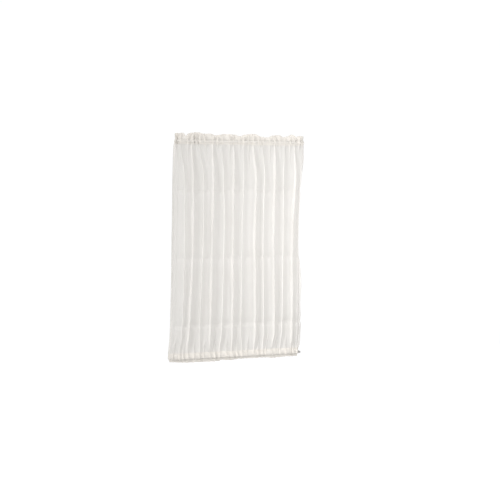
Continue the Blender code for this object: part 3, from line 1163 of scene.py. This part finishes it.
@dataclass
class GatheredPanel:
    """The panel: one sheet from its turned-in edge behind the upper rod to that behind the lower one."""

    plan: DoorPlan
    finish: VoileFinish = VoileFinish()
    name: str = "voile_panel"
    cut_width: float = 980.0
    cut_length: float = 1140.0

    # How finely the sheet is drawn, and where its rows crowd.
    finer: int = 5
    softness: float = 0.45
    back_rows: int = 14
    front_rows: int = 15
    hanging_rows: int = 86
    lip_layer: float = 0.6
    stitch_crowding: float = 3.0
    stitch_reach: float = 60.0
    crease_crowding: float = 1.4
    crease_reach: float = 24.0

    # The side hems.
    hem_width: float = 11.0
    hem_columns: int = 7
    hem_gap: float = 0.45
    hem_stitch: float = 9.0

    # The room that the cloth keeps round the rods.
    rod_room: float = 0.8
    rod_ease: float = 1.2

    # The level creases.
    creases: tuple[float, ...] = (-204.0, -509.0, -810.0)
    crease_height: float = 42.0
    crease_depth: float = 3.8
    crease_turn: float = 0.84

    # The crimps of both rods, how much they grow in each place, and how far they are laid over.
    top_crimps: Crimps = Crimps(seed=3)
    low_crimps: Crimps = Crimps(seed=8)
    hanging_crimps: float = 0.75
    heading_crimps: float = 0.5
    pocket_crimps: float = 1.0
    hanging_lean: float = 1.5
    top_lean: float = 4.0
    bottom_lean: float = 4.0

    # What makes the cloth uneven: its heading's lean, both lips, and long faint ripples.
    heading_leans: tuple[Wander, ...] = (Wander(2.2, 21.0, 5), Wander(1.0, 6.5, 6))
    uneven_heading: Wander = Wander(0.9, 3.1, 11)
    uneven_ruffle: Wander = Wander(0.7, 2.7, 12)
    ripple_depth: float = 0.42
    ripple_share: float = 0.75
    ripple_strength: Wander = Wander(0.35, 260.0, 32)
    ripple_drift: Wander = Wander(0.9, 420.0, 31)
    ripples: Wander = Wander(1.0, 2.6, 33)
    flare_shares: tuple[float, ...] = (0.5, 1.0)

    points: np.ndarray = field(init=False)
    facing: np.ndarray = field(init=False)

    def __post_init__(self) -> None:
        """Lays the sheet out, so that its seams can be found as well as its mesh."""
        self.points = self.surface()
        self.facing = self.normals(self.points)

    def rows(self) -> list[Row]:
        """Lists the rows in the order in which the sheet runs.

        Returns:
            The rows, from inside the upper pocket, over the heading, down and into the lower pocket.
        """
        front = [
            *np.linspace(TOP_UPPER_STITCH, TOP_LOWER_STITCH, self.front_rows)[1:],
            *self.hanging_heights(),
            *np.linspace(BOTTOM_UPPER_STITCH, BOTTOM_LOWER_STITCH, self.front_rows)[1:-1],
        ]
        return self.end_rows(HEADING) + [Row(height, 1.0) for height in front] + self.end_rows(RUFFLE)[::-1]

    def end_rows(self, end: SheetEnd) -> list[Row]:
        """Lists the rows of one end, from its turned-in edge up the back and over the free edge.

        Args:
            end: which end.

        Returns:
            The rows, of which the last one lies at the stitch in front.
        """
        way = math.copysign(1.0, end.sewn - end.foot)
        rows = [Row(end.foot + way * turn.inside, turn.layer) for turn in TURNED_IN]
        rows += [Row(height, -1.0) for height in np.linspace(end.foot, end.sewn, self.back_rows)[:-1]]
        places = [(-1.0, share) for share in end.steps]
        places += [(-self.lip_layer, end.lip), (0.0, 1.0), (self.lip_layer, end.lip)]
        places += [(1.0, share) for share in reversed(end.steps)]
        return rows + [Row(end.sewn, layer, **{end.edge: share}) for layer, share in places]

    def hanging_heights(self, samples: int = 2000) -> np.ndarray:
        """Spaces the rows between the pockets: closer by the stitches and at the creases.

        Args:
            samples: how many heights the spacing is worked out at.

        Returns:
            Their heights, downwards, with the upper stitch of the lower pocket as the last.
        """
        heights = np.linspace(TOP_LOWER_STITCH, BOTTOM_UPPER_STITCH, samples)
        near_top = np.exp(-((TOP_LOWER_STITCH - heights) / self.stitch_reach))
        near_bottom = np.exp(-((heights - BOTTOM_UPPER_STITCH) / self.stitch_reach))
        crowded = 1 + self.stitch_crowding * near_top + self.stitch_crowding * near_bottom
        for crease in self.creases:
            crowded += self.crease_crowding * np.exp(-(((heights - crease) / self.crease_reach) ** 2))
        counted = np.cumsum(crowded)
        wanted = np.linspace(counted[0], counted[-1], self.hanging_rows + 1)[1:]
        return np.interp(wanted, counted, heights)

    def fine_columns(self, coarse: np.ndarray) -> np.ndarray:
        """Reads rows of fold columns at the sheet's own columns, with soft corners.

        Args:
            coarse: values by row and fold column, or one row of them.

        Returns:
            The values by row and column of the sheet.
        """
        places = np.arange(coarse.shape[-1], dtype=float)
        fine = np.linspace(0, places[-1], len(places) * self.finer - self.finer + 1)
        reach = self.softness * self.finer
        return np.array([softened(np.interp(fine, places, row), reach) for row in np.atleast_2d(coarse)])

    def surface(self) -> np.ndarray:
        """Places the sheet's points, without its side hems.

        Returns:
            The points in mm, by row and column.
        """
        level, layer, heading, ruffle = np.array(self.rows()).T[..., None]
        nominal = level + heading * (HEADING_HEIGHT - TOP_UPPER_STITCH)
        nominal = (nominal + ruffle * (RUFFLE_HEIGHT - BOTTOM_LOWER_STITCH))[:, 0]

        def by_level(part: str) -> np.ndarray:
            """Reads one column of the table of levels at each row."""
            return read_table(nominal, LEVELS, "height", part)[:, None]

        laid = by_level("laid")
        gathers = RodGathers(self.plan)
        gathers_along, wave = gathers.profile(nominal, laid)
        folds_along, folds_out = LongFolds(self.plan).profile(nominal)
        gathered = by_level("gathered") ** gathers.fades()
        along = self.fine_columns(gathered * gathers_along + (1 - gathered) * folds_along)
        out = gathered * by_level("depth") * wave + (1 - gathered) * folds_out
        out[:, :SIDE_COLUMNS] = by_level("side_out")
        flare = read_table(nominal, RIGHT_FLARE, "height", "along")
        out[:, -len(self.flare_shares) :] += np.outer(flare, self.flare_shares)
        out = self.fine_columns(out)

        places = np.arange(gathers_along.shape[1])
        columns = np.linspace(0, places[-1], out.shape[1])
        inner = self.fine_columns((places >= SIDE_COLUMNS).astype(float))
        crimps = self.top_crimps.field(columns, np.maximum(TOP_LOWER_STITCH - nominal, 0))
        crimps *= self.fine_columns(gathers.pull(laid))
        crimps += self.low_crimps.field(columns, np.maximum(nominal - BOTTOM_UPPER_STITCH, 0))
        pocket_lean = np.where(nominal > MIDDLE, self.top_lean, self.bottom_lean)[:, None]
        lean_over = self.hanging_lean + laid * (pocket_lean - self.hanging_lean)
        along = along + lean_over * inner * crimps
        grown = self.hanging_crimps + self.heading_crimps * heading + self.pocket_crimps * laid
        out += inner * (crimps * grown + self.ripple(columns, nominal) - self.crease_dip(nominal))
        out += inner * heading * sum(lean.at(columns) for lean in self.heading_leans)
        out += layer * (by_level("apart") + inner * by_level("loose"))

        head = read_table(along, HEADING_EDGE, "along", "height") + self.uneven_heading.at(columns) * inner
        hem = read_table(along, RUFFLE_EDGE, "along", "height") + self.uneven_ruffle.at(columns) * inner
        height = level + heading * (head - TOP_UPPER_STITCH) + ruffle * (hem - BOTTOM_LOWER_STITCH)
        out = self.clear_of_rods(out, layer, height)
        return np.dstack([self.plan.place(along, out, nominal[:, None]), height])

    def ripple(self, columns: np.ndarray, height: np.ndarray) -> np.ndarray:
        """Makes the long faint ripples of limp cloth.

        Args:
            columns: the columns' places, in columns of the fold table.
            height: the rows' heights.

        Returns:
            How far they stand out, by row and column.
        """
        strength = (self.ripple_share + self.ripple_strength.at(height))[:, None]
        drift = self.ripple_drift.at(height)[:, None]
        return self.ripple_depth * strength * self.ripples.at(columns[None, :] + drift)

    def crease_dip(self, height: np.ndarray) -> np.ndarray:
        """Presses the level creases, which ease in from above and come out quicker below.

        Args:
            height: the rows' heights.

        Returns:
            How deep each row lies in a crease, as a column.
        """
        dip = np.zeros_like(height)
        for crease in self.creases:
            down = (crease + self.crease_height / 2 - height) / self.crease_height
            going_in = np.clip(down / self.crease_turn, 0, 1)
            coming_out = np.clip((1 - down) / (1 - self.crease_turn), 0, 1)
            shape = np.minimum(going_in, coming_out)
            dip += self.crease_depth * shape * shape * (3 - 2 * shape)
        return dip[:, None]

    def clear_of_rods(self, out: np.ndarray, layer: np.ndarray, height: np.ndarray) -> np.ndarray:
        """Keeps the layers of each pocket off the rod, and in their own order.

        Args:
            out: how far each point stands out from the rods' line.
            layer: the layer of each row.
            height: the height of each point.

        Returns:
            The same distances, eased away from a rod where they would touch it.
        """
        side = np.sign(layer)
        for rod in (self.plan.top, self.plan.bottom):
            room = rod.radius + self.rod_room
            near = room**2 - (height - rod.height) ** 2
            needed = np.sqrt(np.maximum(near, 0))
            spare = side * out - needed
            eased = needed + (spare + np.sqrt(spare**2 + self.rod_ease**2)) / 2
            out = np.where((near > 0) & (np.abs(layer) > 0.5), side * eased, out)
        return out

    @staticmethod
    def normals(points: np.ndarray) -> np.ndarray:
        """Finds the directions in which the sheet's right side faces.

        Args:
            points: the sheet's points, by row and column.

        Returns:
            The directions, in the same order.
        """
        down = np.gradient(points, axis=0)
        across = np.gradient(points, axis=1)
        normal = np.cross(down, across)
        return normal / np.linalg.norm(normal, axis=2, keepdims=True)

    def from_side(self, right: bool, depths: np.ndarray) -> tuple[np.ndarray, np.ndarray]:
        """Reads the sheet at set distances from one of its sides.

        Args:
            right: whether it is the right side.
            depths: the distances along the cloth, in mm.

        Returns:
            The points and the directions in which the right side faces there, by row and depth.
        """
        points, facing = [], []
        for line, normal in zip(self.points, self.facing):
            if right:
                line, normal = line[::-1], normal[::-1]
            spots = read_at(line, depths)
            points.append(between(line, *spots))
            facing.append(between(normal, *spots))
        return np.array(points), np.array(facing)

    def with_hems(self) -> np.ndarray:
        """Adds the two side hems, turned back behind the sheet's wrong side.

        Returns:
            The points with the hems' columns before and after them.
        """
        depths = np.linspace(0, self.hem_width, self.hem_columns + 1)[1:]
        depths[0] = self.hem_gap
        hems = []
        for right in (False, True):
            points, facing = self.from_side(right, depths)
            hems.append(points - self.hem_gap * facing)
        return np.hstack([hems[0][:, ::-1], self.points, hems[1]])

    def pocket_seams(self) -> list[SeamLine]:
        """Finds the four sewn lines of the two pockets, on the outer face of each layer.

        Returns:
            The lines, two for each, in the order in which the sheet runs.
        """
        sewn = (TOP_UPPER_STITCH, TOP_LOWER_STITCH, BOTTOM_UPPER_STITCH, BOTTOM_LOWER_STITCH)
        level, layer, heading, ruffle = np.array(self.rows()).T
        faces = (np.abs(layer) == 1) & (heading == 0) & (ruffle == 0)
        at_stitch = np.isclose(level[:, None], sewn).any(axis=1)
        return [SeamLine(self.points[row], self.facing[row]) for row in np.flatnonzero(faces & at_stitch)]

    def hem_seams(self) -> list[SeamLine]:
        """Finds the sewn line of each side hem, on the sheet's face and on the hem's own.

        Returns:
            The lines, first the two of the left side.
        """
        seams = []
        for right in (False, True):
            points, facing = self.from_side(right, np.array([self.hem_stitch]))
            points, facing = points[:, 0], facing[:, 0]
            seams += [SeamLine(points, facing), SeamLine(points - self.hem_gap * facing, -facing)]
        return seams

    def build(self) -> bpy.types.Object:
        """Makes the sheet's mesh with a UV map that lies evenly on the cut cloth.

        Returns:
            The panel.
        """
        points = self.with_hems()
        rows, columns = points.shape[:2]
        corner = np.arange((rows - 1) * columns).reshape(rows - 1, columns)[:, :-1].ravel()
        faces = np.stack([corner, corner + columns, corner + columns + 1, corner + 1], axis=1)
        panel = mesh_object(self.name, points.reshape(-1, 3), faces)
        across = np.linalg.norm(np.diff(points, axis=1), axis=2)
        down = np.linalg.norm(np.diff(points, axis=0), axis=2).mean(axis=1)
        u = np.pad(np.cumsum(across, axis=1), ((0, 0), (1, 0)))
        v = np.concatenate([[0], np.cumsum(down)])
        uv = np.dstack([u / u[:, -1:], np.broadcast_to(1 - v[:, None] / v[-1], u.shape)]).reshape(-1, 2)
        add_uv(panel, "cut_cloth", uv[faces.ravel()])
        LOG.info("the sheet is %.0f mm wide on average and %.0f mm long", u[:, -1].mean(), v[-1])
        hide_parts("curtain_panel")
        return panel


@dataclass(frozen=True)
class Stitching:
    """Lines of lockstitch. Each stitch is a short thread that dips into the cloth at both ends."""

    pitch: float = 2.6
    length: float = 2.2
    thickness: float = 0.34
    stations: tuple[float, ...] = (-1.0, -0.55, 0.55, 1.0)
    lifts: tuple[float, ...] = (-0.12, 0.1, 0.1, -0.12)
    widths: tuple[float, ...] = (0.6, 1.0, 1.0, 0.6)
    sides: int = 6

    def rings(self, seam: SeamLine) -> np.ndarray:
        """Lays stitches along a seam.

        Args:
            seam: the sewn line.

        Returns:
            The stitches' points, by stitch, station and side.
        """
        steps = np.linalg.norm(np.diff(seam.points, axis=0), axis=1)
        middles = np.arange(self.pitch / 2, steps.sum(), self.pitch)
        before, share = read_at(seam.points, middles)
        centre = between(seam.points, before, share)
        tangent = seam.points[before + 1] - seam.points[before]
        tangent /= np.linalg.norm(tangent, axis=1, keepdims=True)
        facing = between(seam.facing, before, share)
        facing -= tangent * np.sum(facing * tangent, axis=1, keepdims=True)
        facing /= np.linalg.norm(facing, axis=1, keepdims=True)
        beside = np.cross(tangent, facing)
        angles = np.arange(self.sides) * 2 * math.pi / self.sides
        rings = []
        for station, lift, width in zip(self.stations, self.lifts, self.widths):
            middle = centre + tangent * station * self.length / 2 + facing * lift
            radius = width * self.thickness / 2
            spokes = [radius * (math.cos(a) * facing + math.sin(a) * beside) for a in angles]
            rings.append(np.stack([middle + spoke for spoke in spokes], axis=1))
        return np.stack(rings, axis=1)

    def faces(self) -> tuple[np.ndarray, np.ndarray]:
        """Lists the faces of one stitch.

        Returns:
            Its quads as rows of point numbers, and the UV place of each of their corners.
        """
        last = len(self.stations) - 1
        quads, places = [], []
        for ring, side in np.ndindex(last, self.sides):
            after = (side + 1) % self.sides
            near, far = ring * self.sides, (ring + 1) * self.sides
            quads.append((near + side, near + after, far + after, far + side))
            start, end = ring / last, (ring + 1) / last
            left, right = side / self.sides, (side + 1) / self.sides
            places += [(start, left), (start, right), (end, right), (end, left)]
        # A ring of six sides closes with two quads at each end of the thread.
        cap = last * self.sides
        quads += [(3, 2, 1, 0), (5, 4, 3, 0)]
        quads += [(cap, cap + 1, cap + 2, cap + 3), (cap, cap + 3, cap + 4, cap + 5)]
        places += [(0.0, 0.5)] * 8 + [(1.0, 0.5)] * 8
        return np.array(quads), np.array(places)

    def build(self, name: str, seams: Sequence[SeamLine]) -> bpy.types.Object:
        """Sews lines of stitches as one piece.

        Args:
            name: the piece's name.
            seams: the sewn lines.

        Returns:
            The piece.
        """
        rings = np.concatenate([self.rings(seam) for seam in seams])
        quads, places = self.faces()
        starts = np.arange(len(rings)) * len(self.stations) * self.sides
        faces = (quads[None] + starts[:, None, None]).reshape(-1, 4)
        piece = mesh_object(name, rings.reshape(-1, 3), faces)
        add_uv(piece, "thread", np.tile(places, (len(rings), 1)))
        LOG.info("%s has %d stitches", name, len(rings))
        return piece


@dataclass(frozen=True)
class StudioCamera:
    """The camera: a plain lens, turned and tipped as whoever took the picture held it."""

    azimuth: float = 18.32
    pitch: float = 6.50
    roll: float = 0.993
    lens: float = 71.91
    distance: float = 4.5
    aim: tuple[float, float, float] = (0.0515, -0.025, -0.4856)

    def build(self) -> bpy.types.Object:
        """Places the camera and makes it the scene's own.

        Returns:
            The camera.
        """
        turn, tip, roll = (math.radians(angle) for angle in (self.azimuth, self.pitch, self.roll))
        look = Vector((math.sin(turn) * math.cos(tip), math.cos(turn) * math.cos(tip), -math.sin(tip)))
        level_right = look.cross(Vector((0, 0, 1))).normalized()
        level_up = level_right.cross(look)
        right = level_right * math.cos(roll) + level_up * math.sin(roll)
        up = level_up * math.cos(roll) - level_right * math.sin(roll)
        camera = new_object("camera", bpy.data.cameras.new("camera"))
        camera.data.lens = self.lens
        place = Vector(self.aim) - self.distance * look
        turned = Matrix((right, up, -look)).transposed().to_4x4()
        camera.matrix_world = Matrix.Translation(place) @ turned
        bpy.context.scene.camera = camera
        return camera


@dataclass(frozen=True)
class Studio:
    """A white room of soft light, with a key that grazes the folds from the upper left, a soft fill in
    front and a pale floor."""

    seen_dome: float = 1.02
    seen_through: Colour = (0.355, 0.34, 0.315, 1.0)
    high_dome: float = 0.68
    low_dome: float = 0.36
    dome_blend: float = 0.4
    key_distance: float = 5.0
    key_strength: float = 1.7
    key_azimuth: float = 62.0
    key_height: float = 38.0
    key_softness: float = 14.0
    fill_power: float = 7.5
    fill_size: float = 0.6
    fill_place: tuple[float, float, float] = (0.3, -0.95, -0.33)
    fill_aim: tuple[float, float, float] = (0.0, 0.0, -0.4)
    floor_height: float = -1.95
    floor_size: float = 8.0

    def build(self) -> None:
        """Makes the light and the floor."""
        bpy.context.scene.view_settings.view_transform = "Standard"
        self.world()
        self.key()
        self.fill()
        self.floor()

    def world(self) -> None:
        """Lights the room, shows it a little brighter than it lights, and dimmer through the cloth."""
        world = bpy.data.worlds.new("dome")
        world.use_nodes = True
        graph = Graph(world.node_tree)
        path = graph.add("LightPath").outputs
        upward = graph.add("SeparateXYZ", {0: graph.add("TexCoord").outputs["Generated"]}).outputs["Z"]
        strength = graph.ramp(upward, -self.dome_blend, self.dome_blend, self.low_dome, self.high_dome)
        lit = graph.add("Background", {"Color": WHITE, "Strength": strength})
        shade = graph.mix_colour(path["Transparent Depth"], WHITE, self.seen_through)
        seen = graph.add("Background", {"Color": shade, "Strength": self.seen_dome})
        shown = graph.mix_shader(path["Is Camera Ray"], lit, seen)
        graph.feed(world.node_tree.nodes["World Output"], {"Surface": shown.outputs[0]})
        bpy.context.scene.world = world

    def floor(self) -> None:
        """Lays the pale floor."""
        bpy.ops.object.select_all(action="DESELECT")
        bpy.ops.mesh.primitive_plane_add(size=self.floor_size, location=(0, 0, self.floor_height))
        floor = bpy.context.active_object
        floor.name = "floor"
        floor.data.materials.append(FloorFinish().material(self.seen_through))

    def key(self) -> None:
        """Adds the wide sun at the upper left."""
        data = bpy.data.lights.new("key", "SUN")
        data.energy = self.key_strength
        data.angle = math.radians(self.key_softness)
        turn, tip = math.radians(self.key_azimuth), math.radians(self.key_height)
        towards = Vector((-math.sin(turn) * math.cos(tip), -math.cos(turn) * math.cos(tip), math.sin(tip)))
        self.hang(data, self.key_distance * towards, -towards)

    def fill(self) -> None:
        """Adds the soft square lamp in front of the curtain."""
        data = bpy.data.lights.new("fill", "AREA")
        data.energy = self.fill_power
        data.size = self.fill_size
        place = Vector(self.fill_place)
        self.hang(data, place, Vector(self.fill_aim) - place)

    @staticmethod
    def hang(data: bpy.types.Light, place: Vector, direction: Vector) -> bpy.types.Object:
        """Hangs a lamp that isn't seen itself.

        Args:
            data: the lamp.
            place: where it hangs.
            direction: the way it shines.

        Returns:
            The lamp's object.
        """
        lamp = new_object(data.name, data)
        lamp.location = place
        lamp.rotation_mode = "QUATERNION"
        lamp.rotation_quaternion = direction.to_track_quat("-Z", "Y")
        lamp.visible_camera = False
        return lamp


def main() -> None:
    """Builds the camera, the curtain's pieces and the studio round them."""
    logging.basicConfig(level=logging.INFO, format="%(name)s: %(message)s")
    StudioCamera().build()
    Effects().build()
    plan = DoorPlan(RodLine.of(Rod.TOP), RodLine.of(Rod.BOTTOM))

    maker = GatheredPanel(plan)
    panel = maker.build()
    hand_over(panel, maker.finish.material((maker.cut_width, maker.cut_length)))

    thread = ThreadFinish().material()
    sewing = Stitching()
    pocket_stitching = sewing.build("pocket_stitching", maker.pocket_seams())
    hem_stitching = sewing.build("hem_stitching", maker.hem_seams())
    for piece in (pocket_stitching, hem_stitching):
        hand_over(piece, thread)

    steel = RodFinish().material()
    for rod, line in ((Rod.TOP, plan.top), (Rod.BOTTOM, plan.bottom)):
        piece = SashRod(rod, line).build()
        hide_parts(rod.value)
        hand_over(piece, steel)

    Studio().build()
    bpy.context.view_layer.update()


if __name__ == "__main__":
    main()
